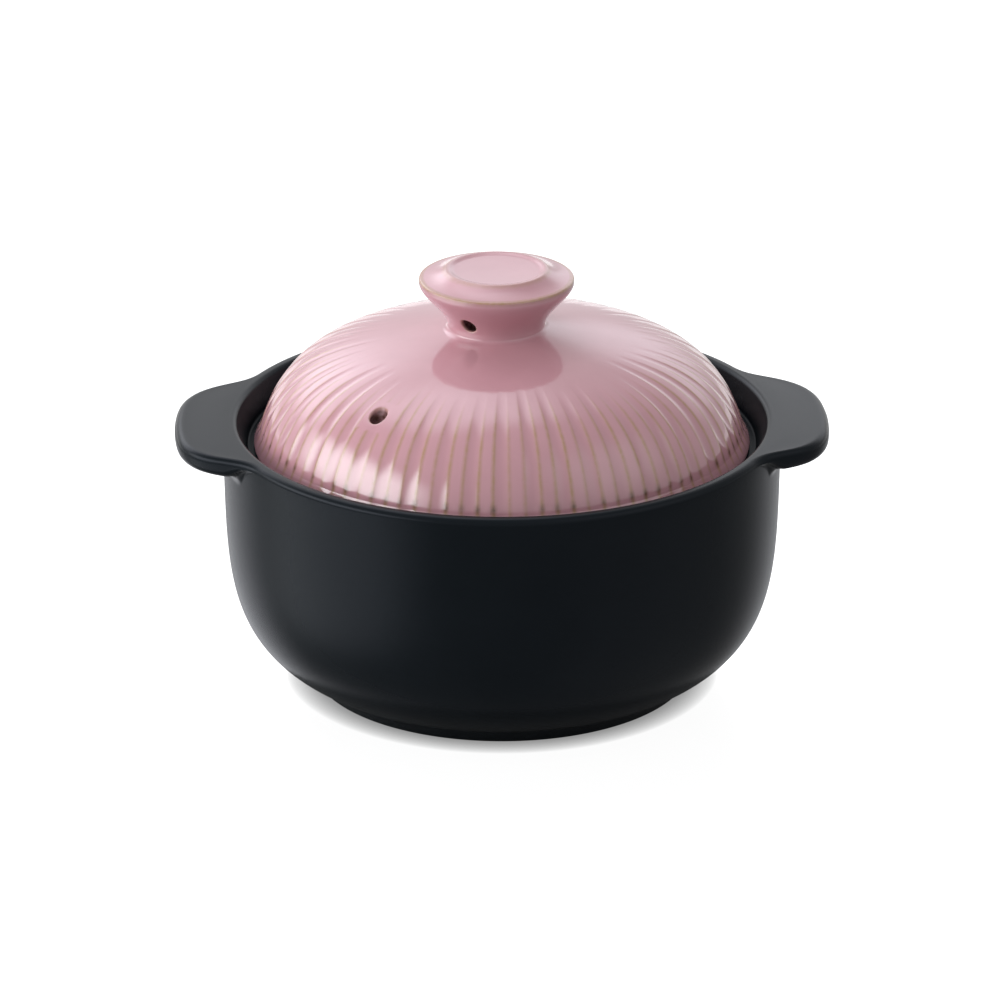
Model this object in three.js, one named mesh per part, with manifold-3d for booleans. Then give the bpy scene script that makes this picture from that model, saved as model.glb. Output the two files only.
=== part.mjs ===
// Ceramic hot pot: a bowl on a foot ring with two lug handles, and a fluted lid with a hollow knob.
// Millimetres, +Z up. The handles lie along X and -Y is the front.
// The origin is on the table, at the middle of the foot.

import * as THREE from 'three';
import { mergeVertices } from 'three/addons/utils/BufferGeometryUtils.js';
import Module from 'manifold-3d';

// Bowl
const RIM_HEIGHT = 101.9; // table to the top of the rim
const RIM_RADIUS = 105; // outside of the wall at the rim
const RIM_WIDTH = 5.1; // outside to inside across the rim's top
const RIM_BAND = 6; // upright stretch of wall just under the rim
const RIM_OUTER_ROUND = 2.5;
const RIM_INNER_ROUND = 2.2;
const BOWL_WALL = 6.5;
const BOWL_FLOOR = 6.25;
const BASE_RADIUS = 77.2; // where the belly meets the foot ring
const BELLY_ANGLE = 27.3; // degrees that the belly rises at as it leaves the foot
const BELLY_PULL = 33.1; // how far the belly holds that direction
const WALL_PULL = 47.8; // how far down the wall stays nearly upright
const WALL_LEAN = 1.3; // how far it is drawn in over that length

// Gallery: the sunk ledge inside the rim that carries the lid
const GALLERY_DEPTH = 10.1; // rim's top down to the ledge
const GALLERY_TAPER = 4.2; // how far the gallery's wall leans in on its way down
const LEDGE_WIDTH = 7.2;
const LEDGE_THICKNESS = 5; // at its inner edge
const LEDGE_SLOPE = 10; // height over which its underside runs back to the wall

// Foot ring
const FOOT_HEIGHT = 6.1;
const FOOT_RADIUS = 71.5; // outer edge on the table
const FOOT_WIDTH = 9; // on the table
const FOOT_INNER_LEAN = 1.5; // how far its inner side leans in on its way up
const FOOT_ROUND = 0.8;

// Handles
const HANDLE_REACH = 17.9; // outside of the rim to the tip
const HANDLE_DROP = 0.4; // rim's top down to the handle's top
const HANDLE_THICKNESS = 7.5; // over most of its reach
const HANDLE_ROUND = 3; // along its outer edges
const HANDLE_FILLET = 5; // under its root
const HANDLE_TIP_ANGLE = 7.4; // degrees either side of X that the tip keeps its full reach
const HANDLE_ROOT_ANGLE = 26; // degrees either side of X where it runs out into the rim
const HANDLE_TIP_SWEEP = 13; // degrees that the tip's arc is carried into the flank's curve
const HANDLE_ROOT_SWEEP = 7; // degrees that the rim's arc is carried into it
const HANDLE_END = 1; // clay left at each end of the handle
const HANDLE_END_THICKNESS = 2.5;
const HANDLE_TAPER = 0.45; // share of the reach over which it thickens
const HANDLE_GAP = 0.3; // slip joint between the handle and the wall

// Lid
const LID_TURN = 2.16; // degrees that the loose lid stands turned on its ledge, clockwise from above
const LID_CLEARANCE = 2.5; // lid's edge to the foot of the gallery's wall
const LID_EDGE_ROUND = 1.5;
const LID_SEAT_WIDTH = 7; // lid's edge to its hollow, on the ledge
const LID_RING_HEIGHT = 6.2; // plain ring below the flutes
const LID_RING_TAPER = 2.35; // how far the ring draws in on its way up
const LID_WALL = 5.5;
const DOME_RISE = 38.85; // top of the ring to the knob's seat
const DOME_SIDE_LEAN = 16.7; // degrees from upright where the dome leaves the ring
const DOME_SIDE_PULL = 32.9; // how far the side holds that direction
const DOME_TOP_SLOPE = 10.6; // degrees that the crown falls away at from the knob's seat
const DOME_TOP_PULL = 34.8; // how far the crown holds that slope
const DOME_VENT_DIAMETER = 6.5;
const DOME_VENT_REACH = 72; // pot's axis to the vent
const DOME_VENT_ANGLE = 39; // degrees from the lid's front towards -X

// Flutes in the dome
const FLUTE_COUNT = 48;
const FLUTE_DEPTH = 0.6;
const FLUTE_START_RADIUS = 46; // where the channels begin to sink in
const FLUTE_FULL_RADIUS = 78; // where they reach their full depth
const FLUTE_END_RISE = 2.5; // height over which they run out above the ring

// Knob
const KNOB_OFFSET = 2; // knob's axis from the lid's axis, towards -X
const KNOB_BASE_RADIUS = 21.3;
const KNOB_BASE_LIP = 0.6; // upright edge of the base
const KNOB_NECK_RADIUS = 17.8;
const KNOB_NECK_HEIGHT = 3.3; // seat to the narrowest ring
const KNOB_NECK_PULL = 6; // how far the neck stays upright
const KNOB_RADIUS = 29;
const KNOB_EDGE_HEIGHT = 18.9; // seat to the widest ring
const KNOB_FLARE_PULL = 3.4; // how far the edge stays upright below its widest ring
const KNOB_BRIM_HEIGHT = 20.8; // seat to the brim's outer edge
const KNOB_BRIM_ROUND = 0.8; // along that edge
const KNOB_BRIM_SLOPE = 8; // degrees that the brim rises at from its edge
const KNOB_BRIM_PULL = 5; // how far the brim holds that slope
const KNOB_HEIGHT = 24.2; // seat to the lip's crest round the dish
const KNOB_CREST_RADIUS = 18.4;
const KNOB_LIP_SLOPE = 26; // degrees that the lip's outer side rises at
const KNOB_LIP_PULL = 3.5; // how far the lip holds that slope
const KNOB_DISH_RADIUS = 15.5; // foot of the dish's side
const KNOB_DISH_DEPTH = 0.7;
const KNOB_WALL = 5; // neck's wall round the hollow
const KNOB_TOP = 6; // clay between the dish and the hollow
const KNOB_VENT_DIAMETER = 5.6;
const KNOB_VENT_HEIGHT = 7.6; // seat to the vent's axis
const KNOB_VENT_ANGLE = 31; // degrees from the lid's front towards -X

// Fineness of the curved faces
const POT_SEGMENTS = 64;
const KNOB_SEGMENTS = 36;
const VENT_SEGMENTS = 20;
const FLUTE_COLUMNS = 4; // columns of facets to each flute and its land
const CURVE_STEPS = 8;
const ROUND_STEPS = 3;
const CUT_MARGIN = 1; // how far a cut runs past the face it opens

// Heights and radii that several pieces share
const ledgeHeight = RIM_HEIGHT - GALLERY_DEPTH;
const ledgeOuterRadius = RIM_RADIUS - RIM_WIDTH - GALLERY_TAPER;
const handleTipRadius = RIM_RADIUS + HANDLE_REACH;
const lidRadius = ledgeOuterRadius - LID_CLEARANCE;
const ringHeight = ledgeHeight + LID_RING_HEIGHT;
const knobSeatHeight = ringHeight + DOME_RISE;
const knobSeatRadius = KNOB_BASE_RADIUS + KNOB_OFFSET;

const wasm = await Module();
wasm.setup();

const radians = THREE.MathUtils.degToRad;

// A profile's point: distance from the axis, and height
function point(radius, height) {
  return new THREE.Vector2(radius, height);
}

// A step of a given length in a profile, at an angle from level
function step(length, degrees) {
  return point(length * Math.cos(radians(degrees)), length * Math.sin(radians(degrees)));
}

// Points on a round between two directions, given in degrees from level
function round(centre, radius, from, to) {
  const points = [];
  for (let i = 0; i <= ROUND_STEPS; i += 1) {
    points.push(centre.clone().add(step(radius, THREE.MathUtils.lerp(from, to, i / ROUND_STEPS))));
  }
  return points;
}

// Points of a curve moved to its left by a wall's thickness
function inset(curve, thickness) {
  return curve.getPoints(CURVE_STEPS).map((at, i) => {
    const along = curve.getTangent(i / CURVE_STEPS);
    return point(at.x - along.y * thickness, at.y + along.x * thickness);
  });
}

// The point of a rising outline at a height
function pointAtHeight(outline, height) {
  const found = outline.findIndex((at, i) => i > 0 && at.y > height);
  const upper = found > 0 ? found : outline.length - 1;
  const below = outline[upper - 1];
  const above = outline[upper];
  return below.clone().lerp(above, (height - below.y) / (above.y - below.y));
}

// One closed surface: corners that coincide become one, and triangles that shrink to a line go
function weld(geometry) {
  geometry.deleteAttribute('normal');
  geometry.deleteAttribute('uv');
  const welded = mergeVertices(geometry);
  const corners = Array.from(welded.index.array);
  const kept = [];
  for (let i = 0; i < corners.length; i += 3) {
    const [a, b, c] = corners.slice(i, i + 3);
    if (a !== b && b !== c && c !== a) {
      kept.push(a, b, c);
    }
  }
  welded.setIndex(kept);
  welded.computeVertexNormals();
  return welded;
}

// A profile turned about Z
function turned(profile, segments) {
  return new THREE.LatheGeometry(profile, segments).rotateX(Math.PI / 2);
}

// A solid for joining and cutting
function solidOf(geometry) {
  const welded = weld(geometry);
  const vertProperties = new Float32Array(welded.attributes.position.array);
  const triVerts = new Uint32Array(welded.index.array);
  return new wasm.Manifold(new wasm.Mesh({ numProp: 3, vertProperties, triVerts }));
}

function geometryOf(solid) {
  const mesh = solid.getMesh();
  const geometry = new THREE.BufferGeometry();
  geometry.setAttribute('position', new THREE.BufferAttribute(mesh.vertProperties, 3));
  geometry.setIndex(new THREE.BufferAttribute(mesh.triVerts, 1));
  geometry.computeVertexNormals();
  return geometry;
}

// The bowl's outside from the foot up to the upright band under the rim
function bowlWall() {
  const foot = point(BASE_RADIUS, FOOT_HEIGHT);
  const band = point(RIM_RADIUS, RIM_HEIGHT - RIM_BAND);
  const belly = foot.clone().add(step(BELLY_PULL, BELLY_ANGLE));
  const waist = band.clone().sub(point(WALL_LEAN, WALL_PULL));
  return new THREE.CubicBezierCurve(foot, belly, waist, band);
}

function bowl() {
  const wall = bowlWall();
  const rimInner = RIM_RADIUS - RIM_WIDTH;
  const outerRound = point(RIM_RADIUS - RIM_OUTER_ROUND, RIM_HEIGHT - RIM_OUTER_ROUND);
  const innerRound = point(rimInner + RIM_INNER_ROUND, RIM_HEIGHT - RIM_INNER_ROUND);
  const ledgeInner = ledgeOuterRadius - LEDGE_WIDTH;
  const ledgeUnder = ledgeHeight - LEDGE_THICKNESS;
  const floorHeight = FOOT_HEIGHT + BOWL_FLOOR;
  const inside = inset(wall, BOWL_WALL);
  const insideTop = pointAtHeight(inside, ledgeUnder - LEDGE_SLOPE);
  const insideFoot = pointAtHeight(inside, floorHeight);
  const insideWall = inside.filter((at) => at.y > insideFoot.y && at.y < insideTop.y);
  const profile = [
    point(0, FOOT_HEIGHT),
    ...wall.getPoints(CURVE_STEPS),
    ...round(outerRound, RIM_OUTER_ROUND, 0, 90),
    ...round(innerRound, RIM_INNER_ROUND, 90, 180),
    point(ledgeOuterRadius, ledgeHeight),
    point(ledgeInner, ledgeHeight),
    point(ledgeInner, ledgeUnder),
    insideTop,
    ...insideWall.reverse(),
    insideFoot,
    point(0, floorHeight),
  ];
  return weld(turned(profile, POT_SEGMENTS));
}

function footRing() {
  const inner = FOOT_RADIUS - FOOT_WIDTH;
  const innerTop = point(inner - FOOT_INNER_LEAN, FOOT_HEIGHT);
  const profile = [
    innerTop,
    point(inner, 0),
    point(FOOT_RADIUS - FOOT_ROUND, 0),
    point(FOOT_RADIUS, FOOT_ROUND),
    point(BASE_RADIUS, FOOT_HEIGHT),
    innerTop.clone(),
  ];
  return weld(turned(profile, POT_SEGMENTS));
}

// A handle's upright section with its tip at a distance from the pot's axis. Its inner side follows
// the wall and the rim's round, and it grows thinner as it runs out.
function handleSection(reach) {
  const inner = RIM_RADIUS + HANDLE_GAP;
  const depth = reach - inner;
  const thickening = THREE.MathUtils.smoothstep(depth, 0, HANDLE_TAPER * (handleTipRadius - inner));
  const thickness = THREE.MathUtils.lerp(HANDLE_END_THICKNESS, HANDLE_THICKNESS, thickening);
  const edge = Math.min(HANDLE_ROUND, depth / 2, thickness / 2);
  const fillet = Math.min(HANDLE_FILLET, depth - edge);
  const top = RIM_HEIGHT - HANDLE_DROP;
  const under = top - thickness;
  const rimRound = point(RIM_RADIUS - RIM_OUTER_ROUND, RIM_HEIGHT - RIM_OUTER_ROUND);
  const seatRound = RIM_OUTER_ROUND + HANDLE_GAP;
  const seatEnd = THREE.MathUtils.radToDeg(Math.asin((top - rimRound.y) / seatRound));
  return [
    ...round(point(inner + fillet, under - fillet), fillet, 180, 90),
    ...round(point(reach - edge, under + edge), edge, -90, 0),
    ...round(point(reach - edge, top - edge), edge, 0, 90),
    ...round(rimRound, seatRound, seatEnd, 0),
  ];
}

// Where a handle's sections stand, as angle and reach: its tip is an arc about the pot's axis,
// and each flank is one curve from that arc into the rim
function handleStations() {
  const endReach = RIM_RADIUS + HANDLE_GAP + HANDLE_END;
  const flank = new THREE.CubicBezierCurve(
    point(HANDLE_TIP_ANGLE, handleTipRadius),
    point(HANDLE_TIP_ANGLE + HANDLE_TIP_SWEEP, handleTipRadius),
    point(HANDLE_ROOT_ANGLE - HANDLE_ROOT_SWEEP, endReach),
    point(HANDLE_ROOT_ANGLE, endReach),
  );
  const half = [point(HANDLE_TIP_ANGLE / 2, handleTipRadius), ...flank.getPoints(CURVE_STEPS)];
  const mirrored = half.map((at) => point(-at.x, at.y)).reverse();
  return [...mirrored, point(0, handleTipRadius), ...half];
}

function handle() {
  const stations = handleStations();
  const sections = stations.map((station) => handleSection(station.y));
  const count = sections[0].length;
  const places = [];
  stations.forEach((station, i) => {
    const angle = radians(station.x);
    sections[i].forEach((at) => places.push(at.x * Math.cos(angle), at.x * Math.sin(angle), at.y));
  });
  const corners = [];
  for (let i = 0; i + 1 < stations.length; i += 1) {
    for (let j = 0; j < count; j += 1) {
      const near = i * count + j;
      const nearNext = i * count + ((j + 1) % count);
      corners.push(near, near + count, nearNext + count);
      corners.push(near, nearNext + count, nearNext);
    }
  }
  const last = (stations.length - 1) * count;
  const firstCap = THREE.ShapeUtils.triangulateShape(sections[0], []);
  const lastCap = THREE.ShapeUtils.triangulateShape(sections[stations.length - 1], []);
  firstCap.forEach(([a, b, c]) => corners.push(a, b, c));
  lastCap.forEach(([a, b, c]) => corners.push(last + c, last + b, last + a));
  const geometry = new THREE.BufferGeometry();
  geometry.setAttribute('position', new THREE.Float32BufferAttribute(places, 3));
  geometry.setIndex(corners);
  return weld(geometry);
}

// The dome's outside from the ring up to the knob's seat
function domeCurve() {
  const ring = point(lidRadius - LID_RING_TAPER, ringHeight);
  const seat = point(knobSeatRadius, knobSeatHeight);
  const side = ring.clone().add(step(DOME_SIDE_PULL, 90 + DOME_SIDE_LEAN));
  const crown = seat.clone().add(step(DOME_TOP_PULL, -DOME_TOP_SLOPE));
  return new THREE.CubicBezierCurve(ring, side, crown, seat);
}

// How deep a channel is at a place on the dome, with one channel centred on the lid's front
function fluteDepth(radius, height, angle) {
  const fadeIn = THREE.MathUtils.smoothstep(radius, FLUTE_START_RADIUS, FLUTE_FULL_RADIUS);
  const runOut = THREE.MathUtils.smoothstep(height, ringHeight, ringHeight + FLUTE_END_RISE);
  return FLUTE_DEPTH * fadeIn * runOut * Math.max(0, Math.cos(FLUTE_COUNT * angle));
}

// The lid's outside as a solid block, with the channels pressed into it
function flutedDome(curve) {
  const edgeRound = point(lidRadius - LID_EDGE_ROUND, ledgeHeight + LID_EDGE_ROUND);
  const dome = curve.getPoints(CURVE_STEPS);
  const profile = [
    point(0, ledgeHeight),
    ...round(edgeRound, LID_EDGE_ROUND, -90, 0),
    dome[0],
    pointAtHeight(dome, ringHeight + FLUTE_END_RISE),
    ...dome.slice(1),
    point(0, knobSeatHeight),
  ];
  const geometry = new THREE.LatheGeometry(profile, FLUTE_COUNT * FLUTE_COLUMNS);
  const places = geometry.attributes.position;
  const outward = geometry.attributes.normal;
  for (let i = 0; i < places.count; i += 1) {
    const at = new THREE.Vector3().fromBufferAttribute(places, i);
    const normal = new THREE.Vector3().fromBufferAttribute(outward, i);
    const depth = fluteDepth(Math.hypot(at.x, at.z), at.y, Math.atan2(at.x, at.z));
    at.addScaledVector(normal, -depth);
    places.setXYZ(i, at.x, at.y, at.z);
  }
  return solidOf(geometry.rotateX(Math.PI / 2));
}

// The hollow under the lid, open at the ledge
function lidHollow(curve) {
  const seatInner = lidRadius - LID_SEAT_WIDTH;
  const inside = inset(curve, LID_WALL);
  const crown = inside[inside.length - 1];
  const profile = [
    point(0, ledgeHeight - CUT_MARGIN),
    point(seatInner, ledgeHeight - CUT_MARGIN),
    point(seatInner, ledgeHeight),
    ...inside,
    point(0, crown.y),
  ];
  return solidOf(turned(profile, FLUTE_COUNT));
}

// The steam vent, drilled straight down through the dome
function domeVent() {
  const radius = DOME_VENT_DIAMETER / 2;
  const length = knobSeatHeight - ledgeHeight;
  const vent = new THREE.CylinderGeometry(radius, radius, length, VENT_SEGMENTS).rotateX(Math.PI / 2);
  const x = -DOME_VENT_REACH * Math.sin(radians(DOME_VENT_ANGLE));
  const y = -DOME_VENT_REACH * Math.cos(radians(DOME_VENT_ANGLE));
  return solidOf(vent.translate(x, y, ringHeight + length / 2));
}

function lidDome() {
  const curve = domeCurve();
  return geometryOf(flutedDome(curve).subtract(lidHollow(curve)).subtract(domeVent()));
}

// The knob's section on its own axis: the hollow, the base, the flared neck, the edge and the dish
function knobProfile() {
  const hollowRadius = KNOB_NECK_RADIUS - KNOB_WALL;
  const crest = point(KNOB_CREST_RADIUS, knobSeatHeight + KNOB_HEIGHT);
  const dishHeight = crest.y - KNOB_DISH_DEPTH;
  const hollowTop = dishHeight - KNOB_TOP;
  const base = point(KNOB_BASE_RADIUS, knobSeatHeight + KNOB_BASE_LIP);
  const neck = point(KNOB_NECK_RADIUS, knobSeatHeight + KNOB_NECK_HEIGHT);
  const edge = point(KNOB_RADIUS, knobSeatHeight + KNOB_EDGE_HEIGHT);
  const fillet = new THREE.QuadraticBezierCurve(base, point(neck.x, base.y), neck);
  const flare = new THREE.CubicBezierCurve(
    neck,
    point(neck.x, neck.y + KNOB_NECK_PULL),
    point(edge.x, edge.y - KNOB_FLARE_PULL),
    edge,
  );
  const brimHeight = knobSeatHeight + KNOB_BRIM_HEIGHT;
  const roundCentre = point(KNOB_RADIUS - KNOB_BRIM_ROUND, brimHeight - KNOB_BRIM_ROUND);
  const brimEdge = round(roundCentre, KNOB_BRIM_ROUND, 0, 90 - KNOB_BRIM_SLOPE);
  const brimStart = brimEdge.at(-1);
  const brim = new THREE.CubicBezierCurve(
    brimStart,
    brimStart.clone().add(step(KNOB_BRIM_PULL, 180 - KNOB_BRIM_SLOPE)),
    crest.clone().add(step(KNOB_LIP_PULL, -KNOB_LIP_SLOPE)),
    crest,
  );
  return [
    point(0, hollowTop),
    ...round(point(0, hollowTop - hollowRadius), hollowRadius, 90, 0),
    point(hollowRadius, knobSeatHeight),
    point(KNOB_BASE_RADIUS, knobSeatHeight),
    ...fillet.getPoints(ROUND_STEPS),
    ...flare.getPoints(CURVE_STEPS),
    ...brimEdge,
    ...brim.getPoints(CURVE_STEPS / 2),
    point(KNOB_DISH_RADIUS, dishHeight),
    point(0, dishHeight),
  ];
}

// The knob's vent, drilled level through the neck into the hollow
function knobVent() {
  const radius = KNOB_VENT_DIAMETER / 2;
  const vent = new THREE.CylinderGeometry(radius, radius, KNOB_RADIUS, VENT_SEGMENTS);
  vent.translate(0, -KNOB_RADIUS / 2, 0);
  vent.rotateZ(-radians(KNOB_VENT_ANGLE));
  return solidOf(vent.translate(0, 0, knobSeatHeight + KNOB_VENT_HEIGHT));
}

function lidKnob() {
  return geometryOf(solidOf(turned(knobProfile(), KNOB_SEGMENTS)).subtract(knobVent()));
}

const blackGlaze = { color: 0x1c2125, roughness: 0.38, metalness: 0 };
const pinkGlaze = { color: 0xd3a2ae, roughness: 0.14, metalness: 0 };

function piece(name, geometry, finish) {
  const mesh = new THREE.Mesh(geometry, new THREE.MeshStandardMaterial(finish));
  mesh.name = name;
  return mesh;
}

const pot = new THREE.Group();
const rightHandle = piece('right_handle', handle(), blackGlaze);
const leftHandle = piece('left_handle', handle(), blackGlaze);
leftHandle.rotation.z = Math.PI;
pot.add(piece('pot_bowl', bowl(), blackGlaze));
pot.add(piece('foot_ring', footRing(), blackGlaze));
pot.add(rightHandle, leftHandle);

const lid = new THREE.Group();
lid.rotation.z = -radians(LID_TURN);
const knob = piece('lid_knob', lidKnob(), pinkGlaze);
knob.position.x = -KNOB_OFFSET;
lid.add(piece('lid_dome', lidDome(), pinkGlaze), knob);

const hotPot = new THREE.Group();
hotPot.add(pot, lid);

export default hotPot;
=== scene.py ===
"""Looks of the ceramic hot pot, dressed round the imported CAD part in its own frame.

Metres, +Z up, with -Y at the front and the handles along X.
Each piece and each material has a function of its own.
"""

import math

import bpy
import numpy as np
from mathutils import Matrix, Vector

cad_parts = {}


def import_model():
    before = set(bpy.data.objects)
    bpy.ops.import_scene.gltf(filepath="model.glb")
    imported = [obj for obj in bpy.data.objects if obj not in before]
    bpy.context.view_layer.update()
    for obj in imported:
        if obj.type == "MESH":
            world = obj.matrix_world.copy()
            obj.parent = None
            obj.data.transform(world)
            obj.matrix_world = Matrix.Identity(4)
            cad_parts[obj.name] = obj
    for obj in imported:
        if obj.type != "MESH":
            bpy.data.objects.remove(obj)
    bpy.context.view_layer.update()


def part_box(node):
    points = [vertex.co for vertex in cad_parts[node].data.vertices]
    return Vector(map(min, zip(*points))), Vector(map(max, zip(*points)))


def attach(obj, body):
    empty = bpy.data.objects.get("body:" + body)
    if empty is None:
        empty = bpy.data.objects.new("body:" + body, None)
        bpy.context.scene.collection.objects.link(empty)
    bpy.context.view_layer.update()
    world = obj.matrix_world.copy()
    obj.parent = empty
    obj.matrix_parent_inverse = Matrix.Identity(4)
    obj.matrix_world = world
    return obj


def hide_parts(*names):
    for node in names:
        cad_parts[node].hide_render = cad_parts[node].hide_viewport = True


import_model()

MM = 0.001
chance = np.random.default_rng(48)

# Sizes that the frame gives
bowl_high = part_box("pot_bowl")[1]
foot_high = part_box("foot_ring")[1]
handle_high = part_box("right_handle")[1]
lid_low, lid_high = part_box("lid_dome")
knob_low, knob_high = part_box("lid_knob")
RIM_RADIUS = bowl_high.x
RIM_HEIGHT = bowl_high.z
BASE_RADIUS = foot_high.x
FOOT_HEIGHT = foot_high.z
HANDLE_TIP = handle_high.x
HANDLE_DROP = bowl_high.z - handle_high.z
LID_RADIUS = lid_high.x
LEDGE_HEIGHT = lid_low.z
KNOB_SEAT = lid_high.z
KNOB_RADIUS = (knob_high.x - knob_low.x) / 2
KNOB_X = (knob_high.x + knob_low.x) / 2
KNOB_TOP = knob_high.z

# Bowl
RIM_WIDTH = 5.1 * MM
RIM_BAND = 6 * MM
RIM_OUTER_ROUND = 2.5 * MM
RIM_INNER_ROUND = 2.2 * MM
RIM_ROUND_CENTRE = np.array((RIM_RADIUS, RIM_HEIGHT)) - RIM_OUTER_ROUND
BOWL_WALL = 6.5 * MM
BOWL_FLOOR = 6.25 * MM
FLOOR_ROUND = 25 * MM
BELLY_ANGLE = 27.3
BELLY_PULL = 33.1 * MM
WALL_PULL = 47.8 * MM
WALL_LEAN = 1.3 * MM
GALLERY_TAPER = 4.2 * MM
GALLERY_ROUND = 1.2 * MM
LEDGE_WIDTH = 7.2 * MM
LEDGE_THICKNESS = 5 * MM
LEDGE_SLOPE = 10 * MM
LEDGE_ROUND = 1.5 * MM

# Foot ring
FOOT_RADIUS = 71.5 * MM
FOOT_WIDTH = 9 * MM
FOOT_INNER_LEAN = 1.5 * MM
FOOT_ROUND = 0.8 * MM

# Handles
HANDLE_THICKNESS = 7.5 * MM
HANDLE_ROUND = 3 * MM
HANDLE_FILLET = 6 * MM
HANDLE_TIP_ANGLE = 7.4
HANDLE_ROOT_ANGLE = 29.2
HANDLE_TIP_SWEEP = 13.65
HANDLE_ROOT_SWEEP = 9.7
HANDLE_TAPER = 0.45

# Lid
LID_TURN = 2.16
LID_EDGE_ROUND = 1.5 * MM
LID_SEAT_WIDTH = 7 * MM
LID_RING_HEIGHT = 6.2 * MM
LID_RING_TAPER = 2.35 * MM
LID_RING_ROUND = 1 * MM
LID_RING_BLEND = 2 * MM
LID_WALL = 5.5 * MM
DOME_SIDE_LEAN = 16.7
DOME_SIDE_PULL = 34.0 * MM
DOME_TOP_RADIUS = 20 * MM
DOME_TOP_RISE = 0.65 * MM
DOME_TOP_SLOPE = 11
DOME_TOP_PULL = 36.7 * MM
CROWN_RADIUS = 15 * MM
DOME_VENT_RADIUS = 3.25 * MM
DOME_VENT_REACH = 72 * MM
DOME_VENT_ANGLE = 39
DOME_VENT_LIP = 0.7 * MM
VENT_ZONE = 6.5 * MM
CALM_SHARE = 0.25
CALM_START = 3 * MM
CALM_END = 9 * MM
RING_HEIGHT = LEDGE_HEIGHT + LID_RING_HEIGHT

# Flutes in the dome. Places across a channel are in halves of its width.
FLUTE_COUNT = 48
FLUTE_DEPTH = 0.38 * MM
FLUTE_START = 46 * MM
FLUTE_RAMP = 32 * MM
FLUTE_END_DROP = 4.5 * MM
FLUTE_EDGE_SOFTNESS = 0.2
FLUTE_WANDER = 0.22
STRAY_WAVE = 0.5
STRAY_LENGTH = 9 * MM
CHANNEL_SHARE = 0.25
CHANNEL_EDGE = 1.02
EDGE_LINE_WIDTH = 0.25
EDGE_LINE_START = 8 * MM
EDGE_LINE_FULL = 28 * MM
SPOT_WIDTH = 0.34
SPOT_HEIGHT = 2 * MM
SPOT_TALLNESS = 1.4 * MM

# Knob
KNOB_BASE_RADIUS = 20.2 * MM
KNOB_NECK_RADIUS = 18.2 * MM
KNOB_NECK_HEIGHT = 2.2 * MM
KNOB_NECK_PULL = 6 * MM
KNOB_EDGE_HEIGHT = 18.9 * MM
KNOB_FLARE_PULL = 3.4 * MM
KNOB_BRIM_HEIGHT = 20.8 * MM
KNOB_BRIM_ROUND = 0.8 * MM
KNOB_BRIM_SLOPE = 8
KNOB_BRIM_PULL = 5 * MM
KNOB_LIP_RADIUS = 20 * MM
KNOB_LIP_RISE = 0.6 * MM
KNOB_LIP_SLOPE = 28
KNOB_LIP_PULL = 2.2 * MM
KNOB_CREST_RADIUS = 18.4 * MM
KNOB_DISH_RADIUS = 15.5 * MM
KNOB_DISH_DEPTH = 0.6 * MM
KNOB_DISH_SAG = 0.25 * MM
KNOB_WALL = 5 * MM
KNOB_ROOF = 6 * MM
KNOB_HOLLOW_RADIUS = KNOB_NECK_RADIUS - KNOB_WALL
KNOB_HOLLOW_TOP = KNOB_TOP - KNOB_DISH_DEPTH - KNOB_ROOF
LIP_WEAR = 0.45
LIP_WEAR_OFFSET = 1 * MM
LIP_WEAR_WIDTH = 1.2 * MM
BRIM_WEAR_REACH = 2 * MM
BRIM_WEAR_DROP = 0.3 * MM
BRIM_WEAR_WIDTH = 0.5 * MM
KNOB_VENT_RADIUS = 2.8 * MM
KNOB_VENT_HEIGHT = 7.6 * MM
KNOB_VENT_ANGLE = 31
KNOB_VENT_LIP = 0.8 * MM
KNOB_VENT_ZONE = 4.6 * MM
KNOB_VENT_ZONE_BELOW = 4.2 * MM

# Light
FILL_LIGHT = 0.5
SOFTBOX_EDGE = 0.4
LAMP_TARGET_HEIGHT = 80 * MM
FLOOR_REACH = 6

# Camera, fitted to the photograph
CAMERA_TURN = 2.16
CAMERA_ELEVATION = 21.9486
CAMERA_DISTANCE = 2.5
CAMERA_TARGET_HEIGHT = 60 * MM
LENS_LENGTH = 238.03
SENSOR_WIDTH = 36
FRAMING_SHIFT = (-0.0019, 0.0198)

# Fineness of the skins
POT_COLUMNS = 256
KNOB_COLUMNS = 192
CURVE_STEPS = 40
ROUND_STEPS = 6
RING_ROWS = 8
CROWN_ROWS = 32
DISH_ROWS = 8
FILLET_ROWS = 9
GLAZED_FOOT_ROWS = 3
DOME_WINDOW = 20
KNOB_WINDOW = 22
VENT_RINGS = (0.72, 0.5, 0.34, 0.23, 0.15, 0.08, 0.03, 0)
TUBE_STEPS = 5
ROW_GAP = 0.2 * MM
SAME_PLACE = 1e-7


def unit(vector):
    return vector / np.linalg.norm(vector)


def smooth(value, low, high):
    """0 below low, 1 above high, and an S-curve between them."""
    share = np.clip((value - low) / (high - low), 0, 1)
    return share * share * (3 - 2 * share)


def peak(value, middle, width):
    """1 at the middle, fading to 0 over about twice the width on both sides."""
    return np.exp(-(((value - middle) / width) ** 2))


def soft_least(first, second):
    """The lesser of two sizes, with a smooth change from one to the other."""
    return first * second / max((first**4 + second**4) ** 0.25, 1e-9)


def direction(degrees):
    """A step of 1 at an angle in a plane."""
    return np.array((math.cos(math.radians(degrees)), math.sin(math.radians(degrees))))


def bezier(corners, steps=CURVE_STEPS):
    """A curve from the first corner to the fourth, pulled towards the two between them."""
    share = np.linspace(0, 1, steps + 1)[:, None]
    start, leaving, arriving, end = np.array(corners)
    rest = 1 - share
    return (
        start * rest**3
        + 3 * leaving * share * rest**2
        + 3 * arriving * share**2 * rest
        + end * share**3
    )


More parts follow.
